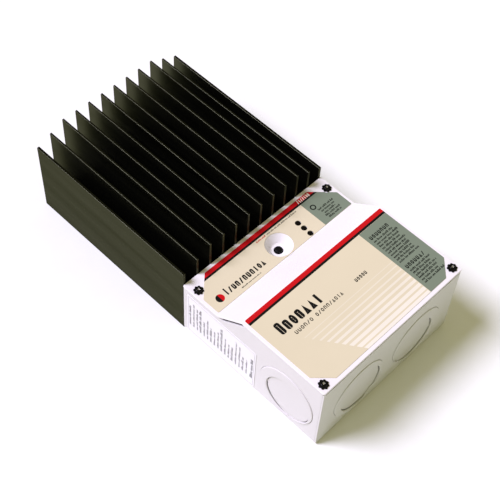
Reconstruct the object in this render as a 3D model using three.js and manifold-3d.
// A wall-mounted charge controller that lies on its back: a finned heat sink, a bent sheet wiring box with
// its stepped cover, and the circuit board, terminals and switches inside. Millimetres, +Z up, fins to +Y.
import * as THREE from 'three';
import { mergeVertices } from 'three/addons/utils/BufferGeometryUtils.js';
import Module from 'manifold-3d';

const wasm = await Module();
wasm.setup();

// ---- Driving dimensions ----

const width = 127;
const length = 260.4;
const gap = 0.3; // between parts that pass through or slide in each other
const seat = 0.1; // under a part that rests on another

const sink = {
  start: 118.8, // distance from the lower end of the controller
  width: 125.8,
  base: 6.5,
  finCount: 12,
  finRoot: 2.3,
  finTip: 1.5,
  tipTops: [60.4, 65.6], // the outermost and the second fin of each side, the others reach the full height
  fullTop: 71,
  tongueWidth: 114,
  tongueStart: 50,
  tongueUnder: 1.5,
  postX: 53.5,
  postStarts: [60, 107],
  postRadius: 3.2,
  postHoleRadius: 1.6,
  postHoleDepth: 8,
  boxScrewHoleRadius: 2.1,
  clampHoleRadius: 1.8,
  clampHoleBottom: 2.5,
  finRootRounding: 0.6,
  finTipRounding: 0.4,
  mountRadius: 2.6,
  mountFromFarEnd: 10,
  mountGap: 4, // the mounting holes lie in the fourth gap out from the middle one
};

const box = {
  width: 125.8,
  start: 0.3,
  end: 118.5,
  sheet: 1.2,
  bend: 2.4,
  seamWidth: 0.2,
  rampRelief: 3.8, // how far the side walls stand back from the ramp of the cover, along Y
  endRelief: 1.5, // how far the end wall stops short of the other walls, below the cover
  screwX: 22,
  mountX: 45,
  mountY: 20,
  mountRadius: 3.2,
};
const tab = { reach: 4.2, halfLength: 4.5, thickness: 2.4 };

const cover = {
  start: 0,
  end: 118.6,
  sheet: 1.5,
  lowTop: 50,
  highTop: 65.8,
  rampLow: 88,
  rampHigh: 67.5,
  cornerRadius: 1.2,
  lipDepth: 4,
  lipOverlap: 0.2,
  lowLip: [90, 100],
  highLip: [14, 66],
  endLipHalfWidth: 48,
};

const coverScrew = {
  x: 59,
  low: 109,
  high: 5,
  headRadius: 3.1,
  headHeight: 2.2,
  shaftRadius: 1.6,
  shaftLength: 7,
};
const button = {
  x: 2.6,
  y: 98.8,
  radius: 2.6,
  top: 45.6,
  bottom: 41.2,
  stemRadius: 1.6,
  stemBottom: 38.6,
};
const switchBody = { halfWidth: 3.5, height: 3.6, wellFloor: 1 };
const funnel = { topRadius: 9.2, floorRadius: 5.2, holeRadius: 3.1, depth: 6, wall: 1.2 };
const led = {
  x: 24,
  starts: [102.2, 96.8, 91.1],
  radius: 2,
  flangeRadius: 2.5,
  noseLength: 6,
  top: 49.8,
  windowRadius: 2.35,
};

const label = { thickness: 0.25, lift: 0.05, corner: 0.8 };
const upperLabel = { halfWidth: 61.5, start: 88.8, end: 115.9, chamferX: 47.2, chamferY: 102 };
const lowerLabel = { halfWidth: 61.5, start: 2.8, end: 66.9, chamferX: 50.4, chamferY: 13.6 };
const specLabel = { start: 54, end: 115, low: 3.3, high: 44 };

const knockout = {
  outerRadius: 22,
  innerRadius: 17.6,
  raise: 0.6,
  sink: 0.4,
  side: { at: 27.7, z: 27.6, shift: [-1.5, -3.9] },
  end: { at: 27.5, z: 28, shift: [-2.5, -3.5] },
};

const board = { halfWidth: 57.5, start: 53, end: 113, bottom: 34.6, top: 36.2, corner: 2, holeRadius: 1.8 };
const powerTerminal = {
  width: 14,
  length: 16,
  height: 17,
  openWidth: 9.4,
  openLow: 2.5,
  openHigh: 12.5,
  screwRadius: 3.9,
  screwLength: 10,
  socketRadius: 2.3,
  plate: 1.6,
};
const groundTerminal = {
  width: 10,
  length: 12,
  height: 12.5,
  openWidth: 6.4,
  openLow: 1.6,
  openHigh: 8.8,
  screwRadius: 2.4,
  screwLength: 8,
  socketRadius: 1.3,
  plate: 1.2,
};
const powerTerminalX = [-42, -16, 16, 42];
const powerTerminalY = 62;
const groundTerminalAt = { x: -50, y: 42 };

const dip = { x: -34, y: 99, length: 21.8, width: 9.8, height: 5.5, count: 8, pitch: 2.54 };
const dipSlot = { width: 1.9, length: 4.6, depth: 2.6 };
const dipSlider = { width: 1.2, length: 2.2, height: 3.3 };

const transistor = { x: 22, start: 92, height: 5 };
const clampBar = { halfWidth: 5, halfLength: 31, height: 2.5 };

// ---- Solids ----

function solidOf(geometry) {
  geometry.deleteAttribute('normal');
  geometry.deleteAttribute('uv');
  const merged = mergeVertices(geometry, 1e-4);
  const vertProperties = merged.attributes.position.array;
  const triVerts = new Uint32Array(merged.index.array);
  return new wasm.Manifold(new wasm.Mesh({ numProp: 3, vertProperties, triVerts }));
}

function geometryOf(solid) {
  const { vertProperties, triVerts } = solid.getMesh();
  const geometry = new THREE.BufferGeometry();
  geometry.setAttribute('position', new THREE.BufferAttribute(vertProperties, 3));
  geometry.setIndex(new THREE.BufferAttribute(triVerts, 1));
  return geometry;
}

const joined = (solids) => solids.reduce((whole, solid) => whole.add(solid));
const cutBy = (solid, tools) => tools.reduce((rest, tool) => rest.subtract(tool), solid);

/** A box between two corners. */
function block([x0, y0, z0], [x1, y1, z1]) {
  const geometry = new THREE.BoxGeometry(x1 - x0, y1 - y0, z1 - z0);
  return solidOf(geometry.translate((x0 + x1) / 2, (y0 + y1) / 2, (z0 + z1) / 2));
}

/** A body turned about the vertical line through (x, y) from [radius, z] points that start and end on it. */
function turned(profile, x = 0, y = 0, facets = 16) {
  const points = profile.map(([radius, z]) => new THREE.Vector2(radius, z));
  return solidOf(new THREE.LatheGeometry(points, facets).rotateX(Math.PI / 2).translate(x, y, 0));
}

/** An upright round rod between two heights. */
function rod(radius, z0, z1, x = 0, y = 0, facets = 16) {
  return turned([[0, z0], [radius, z0], [radius, z1], [0, z1]], x, y, facets);
}

/** A closed outline through [a, b, radius] corners, each corner with a radius rounded off. */
function outline(corners) {
  const shape = new THREE.Shape();
  corners.forEach(([a, b, radius = 0], i) => {
    const corner = new THREE.Vector2(a, b);
    const before = new THREE.Vector2(...corners.at(i - 1));
    const after = new THREE.Vector2(...corners[(i + 1) % corners.length]);
    const into = before.sub(corner).normalize();
    const out = after.sub(corner).normalize();
    const setback = radius / Math.tan(into.angleTo(out) / 2);
    const start = corner.clone().addScaledVector(into, setback);
    if (i === 0) shape.moveTo(start.x, start.y);
    else shape.lineTo(start.x, start.y);
    if (radius > 0) {
      const end = corner.clone().addScaledVector(out, setback);
      shape.quadraticCurveTo(corner.x, corner.y, end.x, end.y);
    }
  });
  shape.closePath();
  return shape;
}

const extruded = (shape, depth, curveSegments = 3) =>
  new THREE.ExtrudeGeometry(shape, { depth, bevelEnabled: false, curveSegments });

/** An (x, y) outline raised from z0 to z1. */
const prismZ = (shape, z0, z1) => solidOf(extruded(shape, z1 - z0).translate(0, 0, z0));

/** A (y, z) outline drawn out along X. */
function prismX(shape, x0, x1) {
  const turn = new THREE.Matrix4().makeBasis(
    new THREE.Vector3(0, 1, 0),
    new THREE.Vector3(0, 0, 1),
    new THREE.Vector3(1, 0, 0),
  );
  return solidOf(extruded(shape, x1 - x0).applyMatrix4(turn).translate(x0, 0, 0));
}

/** An (x, z) outline drawn out along Y. */
function prismY(shape, y0, y1) {
  const turn = new THREE.Matrix4().makeBasis(
    new THREE.Vector3(1, 0, 0),
    new THREE.Vector3(0, 0, 1),
    new THREE.Vector3(0, -1, 0),
  );
  return solidOf(extruded(shape, y1 - y0).applyMatrix4(turn).translate(0, y1, 0));
}

// ---- Shared places ----

const fromEnd = (distance) => distance - length / 2;
const coverSide = width / 2;
const rampTurn = Math.atan2(cover.highTop - cover.lowTop, cover.rampLow - cover.rampHigh);

/** The stepped line of the cover as [y, z] corners, a depth below its outer surface. */
function steppedLine(depth, end, start, roundLow = 0, roundHigh = 0) {
  const shift = depth * Math.tan(rampTurn / 2);
  return [
    [fromEnd(end), cover.lowTop - depth],
    [fromEnd(cover.rampLow) - shift, cover.lowTop - depth, roundLow],
    [fromEnd(cover.rampHigh) - shift, cover.highTop - depth, roundHigh],
    [fromEnd(start), cover.highTop - depth],
  ];
}

const coverScrewPlaces = [
  { x: -coverScrew.x, y: fromEnd(coverScrew.low), top: cover.lowTop },
  { x: coverScrew.x, y: fromEnd(coverScrew.low), top: cover.lowTop },
  { x: -coverScrew.x, y: fromEnd(coverScrew.high), top: cover.highTop },
  { x: coverScrew.x, y: fromEnd(coverScrew.high), top: cover.highTop },
];

const boardPosts = sink.postStarts.flatMap((start) =>
  [-sink.postX, sink.postX].map((x) => ({ x, y: fromEnd(start) })),
);
const finPitch = (sink.width - sink.finRoot) / (sink.finCount - 1);
const boxScrewPlaces = [-box.screwX, box.screwX].map((x) => ({ x, y: fromEnd(sink.tongueStart + 6) }));
const transistorY = fromEnd(transistor.start);

// ---- Heat sink ----

/** The extruded section: a flat base with upright fins, lower at both sides. */
function finSection() {
  const half = sink.width / 2;
  const points = [[-half, 0], [half, 0]];
  const draft = (sink.finRoot - sink.finTip) / 2;
  for (let i = sink.finCount - 1; i >= 0; i -= 1) {
    const middle = (i - (sink.finCount - 1) / 2) * finPitch;
    const top = sink.tipTops[Math.min(i, sink.finCount - 1 - i)] ?? sink.fullTop;
    const rightDraft = i === sink.finCount - 1 ? 0 : draft;
    const leftDraft = i === 0 ? 0 : draft;
    const right = middle + sink.finRoot / 2;
    const left = middle - sink.finRoot / 2;
    if (i < sink.finCount - 1) points.push([right, sink.base, sink.finRootRounding]);
    points.push([right - rightDraft, top, sink.finTipRounding], [left + leftDraft, top, sink.finTipRounding]);
    if (i > 0) points.push([left, sink.base, sink.finRootRounding]);
  }
  return outline(points);
}

function heatSink() {
  const start = fromEnd(sink.start);
  const finned = prismY(finSection(), start, length / 2);
  const tongueHalf = sink.tongueWidth / 2;
  const tongue = block(
    [-tongueHalf, fromEnd(sink.tongueStart), sink.tongueUnder],
    [tongueHalf, start + 1, sink.base],
  );
  const posts = boardPosts.map(({ x, y }) => rod(sink.postRadius, sink.base - 1, board.bottom - seat, x, y));
  const mountX = sink.mountGap * finPitch;
  const mounts = [-mountX, mountX].map((x) =>
    rod(sink.mountRadius, -1, sink.base + 1, x, length / 2 - sink.mountFromFarEnd),
  );
  const postHoles = boardPosts.map(({ x, y }) =>
    rod(sink.postHoleRadius, board.bottom - sink.postHoleDepth, board.bottom + 1, x, y, 12),
  );
  const screwHoles = boxScrewPlaces.map(({ x, y }) =>
    rod(sink.boxScrewHoleRadius, 0, sink.base + 1, x, y, 12),
  );
  const clampHole = rod(sink.clampHoleRadius, sink.clampHoleBottom, sink.base + 1, 0, transistorY, 12);
  return cutBy(joined([finned, tongue, ...posts]), [...mounts, ...postHoles, ...screwHoles, clampHole]);
}

// ---- Wiring box ----

/** The filled form of the box, an inset within its outer faces, closed at the top by the stepped line. */
function boxForm(inset, roof) {
  const half = box.width / 2 - inset;
  const bend = box.bend - inset;
  const start = box.start + inset;
  const end = box.end - inset;
  const top = steppedLine(cover.sheet + gap - roof, end, start);
  const ramp = top.slice(1, 3);
  for (const corner of ramp) corner[0] -= box.rampRelief;
  const side = outline([[fromEnd(start), inset, bend], [fromEnd(end), inset], ...top]);
  const tall = cover.highTop + 10;
  const across = outline([[-half, inset, bend], [half, inset, bend], [half, tall], [-half, tall]]);
  return prismX(side, -half, half).intersect(prismY(across, fromEnd(start), fromEnd(end)));
}

/** A tab bent in from the side wall, with the threaded hole of a cover screw. */
function screwTab({ x, y, top }) {
  const outer = Math.sign(x) * (box.width / 2 - box.sheet / 2);
  const inner = Math.sign(x) * (coverScrew.x - tab.reach);
  const high = top - cover.sheet - gap;
  const back = Math.max(y - tab.halfLength, fromEnd(box.start + box.sheet + gap));
  const low = [Math.min(outer, inner), back, high - tab.thickness];
  return block(low, [Math.max(outer, inner), y + tab.halfLength, high]);
}

const sideKnockout = { y: fromEnd(knockout.side.at), z: knockout.side.z };

/** A round through cutter along X or Y. */
function crossRod(radius, axis, from, to, [a, z], facets = 36) {
  const circle = new THREE.Shape();
  circle.absarc(a, z, radius, 0, Math.PI * 2);
  const geometry = extruded(circle, to - from, facets / 2);
  const along = axis === 'x' ? new THREE.Vector3(1, 0, 0) : new THREE.Vector3(0, -1, 0);
  const across = axis === 'x' ? new THREE.Vector3(0, 1, 0) : new THREE.Vector3(1, 0, 0);
  const turn = new THREE.Matrix4().makeBasis(across, new THREE.Vector3(0, 0, 1), along);
  geometry.applyMatrix4(turn);
  return solidOf(axis === 'x' ? geometry.translate(from, 0, 0) : geometry.translate(0, to, 0));
}

function wiringBox() {
  const tabs = coverScrewPlaces.map(screwTab);
  const tabHoles = coverScrewPlaces.map(({ x, y, top }) =>
    rod(coverScrew.shaftRadius + gap, top - 10, top + 1, x, y, 12),
  );
  const openTop = 20;
  const shell = joined([boxForm(0, 0).subtract(boxForm(box.sheet, openTop)), ...tabs]);
  const hole = knockout.outerRadius + gap;
  const half = box.width / 2;
  const side = [sideKnockout.y, sideKnockout.z];
  const endWall = fromEnd(box.start);
  const seams = [-1, 1].map((way) => {
    const outer = way * (half + 1);
    const inner = way * (half - box.seamWidth);
    const back = endWall + box.sheet;
    const low = [Math.min(outer, inner), back, box.bend];
    return block(low, [Math.max(outer, inner), back + box.seamWidth, cover.highTop]);
  });
  const wallTop = cover.highTop - cover.sheet - gap;
  const endSlot = block(
    [-half - 1, endWall - 1, wallTop - box.endRelief],
    [half + 1, endWall + box.sheet, wallTop + 1],
  );
  const tongueHalf = sink.tongueWidth / 2 + gap;
  return cutBy(shell, [
    ...tabHoles,
    ...seams,
    endSlot,
    crossRod(hole, 'x', -half - 5, half + 5, side),
    ...[-knockout.end.at, knockout.end.at].map((x) =>
      crossRod(hole, 'y', endWall - 2, endWall + 4, [x, knockout.end.z]),
    ),
    block(
      [-tongueHalf, fromEnd(box.end) - 2, box.sheet],
      [tongueHalf, fromEnd(box.end) + 2, sink.base + gap],
    ),
    ...[-box.mountX, box.mountX].map((x) => rod(box.mountRadius, -1, 2, x, fromEnd(box.mountY), 20)),
    ...boxScrewPlaces.map(({ x, y }) => rod(sink.boxScrewHoleRadius, -1, 2, x, y, 12)),
  ]);
}

/** An eccentric knockout in its own frame: X across, Y up the wall, Z outwards from the wall's outer face. */
function knockoutPlate([shiftX, shiftY]) {
  const { outerRadius, innerRadius, raise } = knockout;
  const sunk = -knockout.sink;
  const facets = 36;
  const away = Math.atan2(-shiftY, -shiftX);
  const whole = rod(outerRadius, raise - box.sheet, raise, 0, 0, facets);
  const crescent = whole.subtract(rod(innerRadius + gap, -5, 5, shiftX, shiftY, facets));
  const pinch = new THREE.BoxGeometry(4, 9, 10).rotateZ(away);
  pinch.translate(-Math.cos(away) * outerRadius, -Math.sin(away) * outerRadius, 0);
  const disc = rod(innerRadius, sunk - box.sheet, sunk, shiftX, shiftY, facets);
  const tieSpread = 1.1;
  const tieThickness = 0.6;
  const ties = [away - tieSpread, away + tieSpread].map((angle) => {
    const tie = new THREE.BoxGeometry(2.4, 2, tieThickness).rotateZ(angle);
    const reach = innerRadius + gap / 2;
    tie.translate(shiftX + Math.cos(angle) * reach, shiftY + Math.sin(angle) * reach, -tieThickness);
    return solidOf(tie);
  });
  return joined([crescent.subtract(solidOf(pinch)), disc, ...ties]);
}

// ---- Cover and labels ----

/** The flanges under the cover that reach inside the box, along its sides and its end wall. */
function coverLips() {
  const { sheet, lipDepth, lipOverlap, endLipHalfWidth } = cover;
  const outer = box.width / 2 - box.sheet - gap;
  const sides = [
    { stretch: cover.lowLip, under: cover.lowTop - sheet },
    { stretch: cover.highLip, under: cover.highTop - sheet },
  ].flatMap(({ stretch: [start, end], under }) =>
    [-outer, outer - box.sheet].map((x) =>
      block([x, fromEnd(start), under - lipDepth], [x + box.sheet, fromEnd(end), under + lipOverlap]),
    ),
  );
  const back = fromEnd(box.start + box.sheet + gap);
  const under = cover.highTop - sheet;
  const end = block(
    [-endLipHalfWidth, back, under - lipDepth],
    [endLipHalfWidth, back + box.sheet, under + lipOverlap],
  );
  return [...sides, end];
}

function frontCover() {
  const { sheet, cornerRadius } = cover;
  const outer = steppedLine(0, cover.end, cover.start, 1, 2.5);
  const inner = steppedLine(sheet, cover.end, cover.start, 2.5, 1).reverse();
  const strip = prismX(outline([...outer, ...inner]), -coverSide, coverSide);
  const plan = outline([
    [-coverSide, fromEnd(cover.start), cornerRadius],
    [coverSide, fromEnd(cover.start), cornerRadius],
    [coverSide, fromEnd(cover.end), 1],
    [-coverSide, fromEnd(cover.end), 1],
  ]);
  const plate = strip.intersect(prismZ(plan, 0, cover.highTop + 5));
  const { topRadius, floorRadius, holeRadius, depth, wall } = funnel;
  const x = button.x;
  const y = fromEnd(button.y);
  const top = cover.lowTop;
  const bottom = top - depth;
  const rim = bottom - wall;
  const facets = 32;
  const bowlProfile = [
    [0, rim],
    [floorRadius + wall, rim],
    [topRadius + wall, top - sheet / 4],
    [0, top - sheet / 4],
  ];
  const wellProfile = [
    [0, rim - 5],
    [holeRadius, rim - 5],
    [holeRadius, bottom],
    [floorRadius, bottom],
    [topRadius, top],
    [topRadius, top + 5],
    [0, top + 5],
  ];
  const bowl = turned(bowlProfile, x, y, facets);
  const well = turned(wellProfile, x, y, facets);
  const windows = led.starts.map((start) =>
    rod(led.windowRadius, top - 5, top + 5, led.x, fromEnd(start), 20),
  );
  const holes = coverScrewPlaces.map((place) =>
    rod(coverScrew.shaftRadius + 0.5, place.top - 8, place.top + 5, place.x, place.y, 16),
  );
  return cutBy(joined([plate, ...coverLips(), bowl]), [well, ...windows, ...holes]);
}

/** Clearance around the head of a cover screw, where a label would pass under it. */
const headClearance = () =>
  coverScrewPlaces.map(({ x, y, top }) => rod(coverScrew.headRadius + 0.6, top - 1, top + 2, x, y, 24));

function upperLabelSheet() {
  const { halfWidth, start, end, chamferX, chamferY } = upperLabel;
  const bottom = cover.lowTop + label.lift;
  const sheet = prismZ(
    outline([
      [-halfWidth, fromEnd(start), label.corner],
      [halfWidth, fromEnd(start), label.corner],
      [halfWidth, fromEnd(chamferY), label.corner],
      [chamferX, fromEnd(end), label.corner],
      [-chamferX, fromEnd(end), label.corner],
      [-halfWidth, fromEnd(chamferY), label.corner],
    ]),
    bottom,
    bottom + label.thickness,
  );
  const well = rod(funnel.topRadius + gap, 0, cover.highTop, button.x, fromEnd(button.y), 32);
  const windows = led.starts.map((at) => rod(led.windowRadius, 0, cover.highTop, led.x, fromEnd(at), 20));
  return cutBy(sheet, [well, ...windows, ...headClearance()]);
}

function lowerLabelSheet() {
  const { halfWidth, start, end, chamferX, chamferY } = lowerLabel;
  const bottom = cover.highTop + label.lift;
  const sheet = prismZ(
    outline([
      [-chamferX, fromEnd(start), label.corner],
      [chamferX, fromEnd(start), label.corner],
      [halfWidth, fromEnd(chamferY), label.corner],
      [halfWidth, fromEnd(end), label.corner],
      [-halfWidth, fromEnd(end), label.corner],
      [-halfWidth, fromEnd(chamferY), label.corner],
    ]),
    bottom,
    bottom + label.thickness,
  );
  return cutBy(sheet, headClearance());
}

function specLabelSheet() {
  const { start, end, low, high } = specLabel;
  const face = -box.width / 2 - label.lift;
  const corners = [
    [fromEnd(start), low, 1],
    [fromEnd(end), low, 1],
    [fromEnd(end), high, 1],
    [fromEnd(start), high, 1],
  ];
  return prismX(outline(corners), face - label.thickness, face);
}

// ---- Fasteners ----

/** A cross recess, cut down from a height. */
const crossRecess = (top, depth, arm, slot) => [
  block([-arm, -slot, top - depth], [arm, slot, top + 1]),
  block([-slot, -arm, top - depth], [slot, arm, top + 1]),
];

/** A pan-head screw whose toothed washer shows around its head, standing on z = 0. */
function toothedScrew() {
  const { headRadius, headHeight, shaftRadius, shaftLength } = coverScrew;
  const teeth = 8;
  const toothOut = 0.3;
  const toothIn = 0.15;
  const washer = new THREE.Shape();
  for (let i = 0; i < teeth * 4; i += 1) {
    const angle = (i / (teeth * 4)) * Math.PI * 2;
    const radius = headRadius + (i % 4 < 2 ? toothOut : -toothIn);
    const place = [Math.cos(angle) * radius, Math.sin(angle) * radius];
    if (i === 0) washer.moveTo(...place);
    else washer.lineTo(...place);
  }
  const cap = headRadius - 0.5;
  const head = turned([[0, 0.4], [cap, 0.4], [cap, 1.2], [cap - 0.6, headHeight - 0.2], [0, headHeight]]);
  const shaft = rod(shaftRadius, -shaftLength, 0.6, 0, 0, 12);
  return cutBy(joined([prismZ(washer, 0, 0.7), head, shaft]), crossRecess(headHeight, 1.2, 1.4, 0.3));
}

/** A plain pan-head screw standing on z = 0. */
function panScrew(headRadius, headHeight, shaftRadius, shaftLength) {
  const head = turned([
    [0, 0],
    [headRadius, 0],
    [headRadius, headHeight * 0.55],
    [headRadius * 0.75, headHeight],
    [0, headHeight],
  ]);
  const shaft = rod(shaftRadius, -shaftLength, 0.3, 0, 0, 10);
  return cutBy(head.add(shaft), crossRecess(headHeight, headHeight * 0.5, headRadius * 0.55, 0.3));
}

// ---- Wire terminals, each standing on z = 0 with the wire along Y ----

function terminalLug(size) {
  const half = size.width / 2;
  const open = size.openWidth / 2;
  const reach = size.length / 2;
  const body = prismY(
    outline([[-half, 0], [half, 0], [half, size.height, 1.2], [-half, size.height, 1.2]]),
    -reach,
    reach,
  );
  return cutBy(body, [
    block([-open, -reach - 1, size.openLow], [open, reach + 1, size.openHigh]),
    rod(size.screwRadius + gap, size.openLow + 1, size.height + 1),
  ]);
}

/** The plate that the screw presses on the wire, at the top of the opening. */
function pressurePlate(size) {
  const half = size.openWidth / 2 - gap - 0.05;
  const reach = size.length / 2 - 1.5;
  const top = size.openHigh - gap;
  return prismZ(
    outline([[-half, -reach, 1], [half, -reach, 1], [half, reach, 1], [-half, reach, 1]]),
    top - size.plate,
    top,
  );
}

/** The clamp screw with a hexagon socket, standing on the pressure plate. */
function clampScrew(size) {
  const bottom = size.openHigh - gap + 0.15;
  const top = bottom + size.screwLength;
  const r = size.screwRadius;
  const chamfer = 0.5;
  const body = turned([
    [0, bottom],
    [r - chamfer, bottom],
    [r, bottom + chamfer],
    [r, top - chamfer],
    [r - chamfer, top],
    [0, top],
  ]);
  return body.subtract(rod(size.socketRadius, top - size.screwLength * 0.4, top + 1, 0, 0, 6));
}

// ---- Circuit board and what it carries ----

function circuitBoard() {
  const { halfWidth, start, end, bottom, top, corner, holeRadius } = board;
  const sheet = prismZ(
    outline([
      [-halfWidth, fromEnd(start), corner],
      [halfWidth, fromEnd(start), corner],
      [halfWidth, fromEnd(end), corner],
      [-halfWidth, fromEnd(end), corner],
    ]),
    bottom,
    top,
  );
  return cutBy(sheet, boardPosts.map(({ x, y }) => rod(holeRadius, bottom - 1, top + 1, x, y, 12)));
}

/** The switch under the push button, with the well that its stem slides in. */
function buttonSwitch() {
  const { halfWidth, height, wellFloor } = switchBody;
  const body = block([-halfWidth, -halfWidth, 0], [halfWidth, halfWidth, height]);
  return body.subtract(rod(button.stemRadius + gap, wellFloor, height + 1, 0, 0, 20));
}

/** The black cap with its stem, in the object's heights. */
function pushButton() {
  const { radius, top, bottom, stemRadius, stemBottom } = button;
  const dome = [[radius, top - 0.9], [radius - 0.25, top - 0.35], [radius - 0.9, top], [0, top + 0.15]];
  return turned([[0, stemBottom], [stemRadius, stemBottom], [stemRadius, bottom], [radius, bottom], ...dome]);
}

/** An indicator on its spacer, its round nose in the window of the cover. */
function statusLed() {
  const { radius, flangeRadius, noseLength, top } = led;
  const ledge = top - noseLength;
  const bottom = board.top + seat;
  const nose = Array.from({ length: 5 }, (_, i) => {
    const angle = (i / 4) * (Math.PI / 2);
    return [radius * Math.cos(angle), top - radius + radius * Math.sin(angle)];
  });
  nose[nose.length - 1][0] = 0;
  const foot = [[0, bottom], [flangeRadius, bottom], [flangeRadius, ledge], [radius, ledge]];
  return turned([...foot, ...nose], 0, 0, 20);
}

const sliderX = (i) => (i - (dip.count - 1) / 2) * dip.pitch;

function dipSwitchBody() {
  const halfLength = dip.length / 2;
  const halfWidth = dip.width / 2;
  const body = block([-halfLength, -halfWidth, 0], [halfLength, halfWidth, dip.height]);
  const slots = Array.from({ length: dip.count }, (_, i) => {
    const low = [sliderX(i) - dipSlot.width / 2, -dipSlot.length / 2, dip.height - dipSlot.depth];
    return block(low, [sliderX(i) + dipSlot.width / 2, dipSlot.length / 2, dip.height + 1]);
  });
  return cutBy(body, slots);
}

/** One slider of the switch, at the end of its slot nearest the terminals. */
function dipSliderPeg() {
  const from = -dipSlot.length / 2 + gap;
  const low = dip.height - dipSlot.depth + gap;
  const half = dipSlider.width / 2;
  return block([-half, from, low], [half, from + dipSlider.length, low + dipSlider.height]);
}

/** A D-shaped outline, its wide side towards +Y. */
function dShape(halfWide, halfTall, slant) {
  return outline([
    [-halfWide + slant, -halfTall, 1],
    [halfWide - slant, -halfTall, 1],
    [halfWide, halfTall, 1],
    [-halfWide, halfTall, 1],
  ]);
}

/** A nine-way serial connector that opens upwards, with its two jack posts. */
function serialPort() {
  const flange = block([-15.4, -6.2, 0], [15.4, 6.2, 5]);
  const shell = prismZ(dShape(9, 4.6, 1.4), 4, 11);
  const insert = prismZ(dShape(7.7, 2.5, 0.9), 4, 6.2);
  const posts = [-12.5, 12.5].map((x) => rod(2.4, 4, 9, x, 0, 6));
  const mouth = prismZ(dShape(8.3, 3.9, 1.4), 5.2, 12);
  return joined([cutBy(joined([flange, shell]), [mouth]), insert, ...posts]);
}

/** A modular jack that opens upwards, with the latch notch at one side. */
function meterJack() {
  const body = block([-6.8, -6, 0], [6.8, 6, 11.2]);
  return cutBy(body, [block([-5, -3.6, 3], [5, 3, 12]), block([-1.7, 2, 5], [1.7, 4.6, 12])]);
}

/** A two-way screw terminal block. */
function signalBlock() {
  const pitch = 5.08;
  const body = prismX(
    outline([[-4, 0], [4, 0], [4, 6.5], [2.6, 9.6, 0.4], [-2.6, 9.6, 0.4], [-4, 6.5]]),
    -pitch,
    pitch,
  );
  const ways = [-pitch / 2, pitch / 2].flatMap((x) => [
    block([x - 1.6, -5, 1.4], [x + 1.6, -2.6, 4.8]),
    rod(1.7, 8.4, 11, x, 0, 16),
  ]);
  return cutBy(body, ways);
}

/** A can capacitor with its rolled groove and a plain top. */
function capacitor(radius, tall) {
  return turned([
    [0, 0],
    [radius, 0],
    [radius, 1.6],
    [radius - 0.6, 2.1],
    [radius, 2.6],
    [radius, tall - 0.8],
    [radius - 0.8, tall],
    [radius - 1.8, tall],
    [radius - 2.1, tall - 0.3],
    [0, tall - 0.3],
  ]);
}

/** A power transistor flat on the tongue, its three leads turned up to the board. */
function powerTransistor() {
  const { height } = transistor;
  const body = block([-8, -10, 0], [8, 10, height]).subtract(rod(1.8, -1, height + 1, 0, 6.5));
  const rise = board.bottom - sink.base - 1;
  const leads = [-5.4, 0, 5.4].flatMap((x) => [
    block([x - 0.6, -14, 2.2], [x + 0.6, -9.5, 3]),
    block([x - 0.6, -14, 2.2], [x + 0.6, -13.2, rise]),
  ]);
  return joined([body, ...leads]);
}

function transistorClamp() {
  const { halfWidth, halfLength, height } = clampBar;
  const section = outline([
    [-halfWidth, 0, 0.5],
    [halfWidth, 0, 0.5],
    [halfWidth, height, 0.5],
    [-halfWidth, height, 0.5],
  ]);
  return prismX(section, -halfLength, halfLength).subtract(rod(2, -1, height + 1));
}

// ---- Materials ----

const paint = (color, roughness, metalness = 0) =>
  new THREE.MeshStandardMaterial({ color, roughness, metalness });
const materials = {
  anodised: paint(0x1c1b17, 0.45, 0.6),
  powderCoat: paint(0xf2f0ee, 0.55),
  labelFilm: paint(0xe9dcc6, 0.45),
  whiteFilm: paint(0xf4f1ee, 0.5),
  blackSteel: paint(0x141414, 0.35, 0.7),
  zincSteel: paint(0xb8bab8, 0.35, 0.9),
  tinnedBlock: paint(0xc9c9c4, 0.3, 0.9),
  brightSteel: paint(0x9a9a98, 0.3, 0.9),
  boardResin: paint(0x1f6b3a, 0.4),
  blackPlastic: paint(0x101010, 0.35),
  redPlastic: paint(0xb8201c, 0.4),
  whitePlastic: paint(0xf5f5f0, 0.4),
  greenPlastic: paint(0x3f8f4a, 0.45),
  smokedLens: paint(0x2a1512, 0.2),
  canSleeve: paint(0x23262e, 0.3),
};

// ---- Assembly ----

const controller = new THREE.Group();

function place(parent, name, solid, material, x = 0, y = 0, z = 0) {
  const mesh = new THREE.Mesh(geometryOf(solid), material);
  mesh.name = name;
  mesh.position.set(x, y, z);
  parent.add(mesh);
  return mesh;
}

place(controller, 'heat_sink', heatSink(), materials.anodised);
place(controller, 'wiring_box', wiringBox(), materials.powderCoat);

const wallX = box.width / 2;
const endY = fromEnd(box.start);
const knockoutFaces = [
  { side: 'left', x: -wallX, y: sideKnockout.y, hole: knockout.side, turn: -Math.PI / 2, flip: -1 },
  { side: 'right', x: wallX, y: sideKnockout.y, hole: knockout.side, turn: Math.PI / 2, flip: 1 },
  { side: 'end_left', x: -knockout.end.at, y: endY, hole: knockout.end, turn: 0, flip: -1 },
  { side: 'end_right', x: knockout.end.at, y: endY, hole: knockout.end, turn: 0, flip: 1 },
];
for (const { side, x, y, hole, turn, flip } of knockoutFaces) {
  const [across, up] = hole.shift;
  const wall = new THREE.Group();
  wall.position.set(x, y, hole.z);
  wall.rotation.set(Math.PI / 2, turn, 0);
  controller.add(wall);
  place(wall, `knockout_${side}`, knockoutPlate([across * flip, up]), materials.powderCoat);
}

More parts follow.
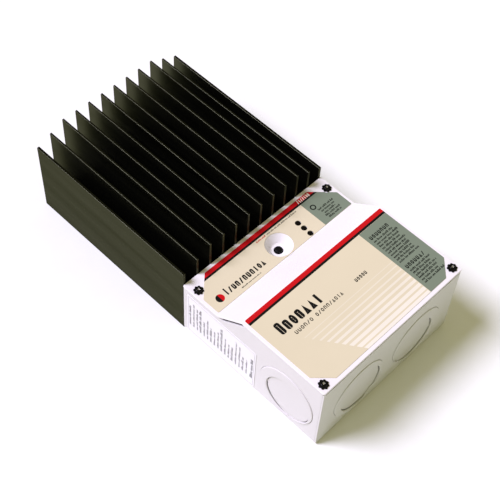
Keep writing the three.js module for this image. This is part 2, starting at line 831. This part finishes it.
const lid = new THREE.Group();
controller.add(lid);
place(lid, 'front_cover', frontCover(), materials.powderCoat);
place(lid, 'upper_label', upperLabelSheet(), materials.labelFilm);
place(lid, 'lower_label', lowerLabelSheet(), materials.labelFilm);
coverScrewPlaces.forEach(({ x, y, top }, i) => {
  place(lid, `cover_screw_${i + 1}`, toothedScrew(), materials.blackSteel, x, y, top + seat);
});
place(controller, 'spec_label', specLabelSheet(), materials.whiteFilm);

const boardLayer = new THREE.Group();
boardLayer.position.z = board.top + seat;
controller.add(boardLayer);
place(controller, 'circuit_board', circuitBoard(), materials.boardResin);
boardPosts.forEach(({ x, y }, i) => {
  place(boardLayer, `board_screw_${i + 1}`, panScrew(3, 2.2, 1.3, 7), materials.zincSteel, x, y);
});

function placeTerminal(parent, name, size, x, y, z) {
  place(parent, `${name}_lug`, terminalLug(size), materials.tinnedBlock, x, y, z);
  place(parent, `${name}_plate`, pressurePlate(size), materials.zincSteel, x, y, z);
  place(parent, `${name}_screw`, clampScrew(size), materials.brightSteel, x, y, z);
}
powerTerminalX.forEach((x, i) => {
  placeTerminal(boardLayer, `terminal_${i + 1}`, powerTerminal, x, fromEnd(powerTerminalY), 0);
});
const groundY = fromEnd(groundTerminalAt.y);
placeTerminal(controller, 'ground', groundTerminal, groundTerminalAt.x, groundY, box.sheet + seat);

place(boardLayer, 'button_switch', buttonSwitch(), materials.blackPlastic, button.x, fromEnd(button.y));
place(controller, 'push_button', pushButton(), materials.blackPlastic, button.x, fromEnd(button.y));
led.starts.forEach((start, i) => {
  place(controller, `status_led_${i + 1}`, statusLed(), materials.smokedLens, led.x, fromEnd(start));
});

const dipGroup = new THREE.Group();
dipGroup.position.set(dip.x, fromEnd(dip.y), 0);
boardLayer.add(dipGroup);
place(dipGroup, 'dip_switch', dipSwitchBody(), materials.redPlastic);
for (let i = 0; i < dip.count; i += 1) {
  place(dipGroup, `dip_slider_${i + 1}`, dipSliderPeg(), materials.whitePlastic, sliderX(i));
}

place(boardLayer, 'serial_port', serialPort(), materials.zincSteel, 36, fromEnd(79));
place(boardLayer, 'meter_jack', meterJack(), materials.blackPlastic, 8, fromEnd(80));
place(boardLayer, 'sense_terminals', signalBlock(), materials.greenPlastic, -44, fromEnd(82));
place(boardLayer, 'sensor_terminals', signalBlock(), materials.greenPlastic, -28, fromEnd(82));
place(boardLayer, 'capacitor_1', capacitor(8, 24), materials.canSleeve, 0, fromEnd(powerTerminalY));
place(boardLayer, 'capacitor_2', capacitor(5, 19), materials.canSleeve, 29, fromEnd(powerTerminalY));

const tongueLayer = new THREE.Group();
tongueLayer.position.z = sink.base + seat;
controller.add(tongueLayer);
[-transistor.x, transistor.x].forEach((x, i) => {
  place(tongueLayer, `power_transistor_${i + 1}`, powerTransistor(), materials.blackPlastic, x, transistorY);
});
const barBottom = transistor.height + seat;
const barTop = barBottom + clampBar.height + seat;
place(tongueLayer, 'transistor_clamp', transistorClamp(), materials.zincSteel, 0, transistorY, barBottom);
const barScrew = panScrew(3.4, 2.6, 1.5, 10);
place(tongueLayer, 'clamp_bar_screw', barScrew, materials.zincSteel, 0, transistorY, barTop);
boxScrewPlaces.forEach(({ x, y }, i) => {
  place(tongueLayer, `box_screw_${i + 1}`, panScrew(3.6, 2.6, 1.8, 6.3), materials.zincSteel, x, y);
});

export default controller;
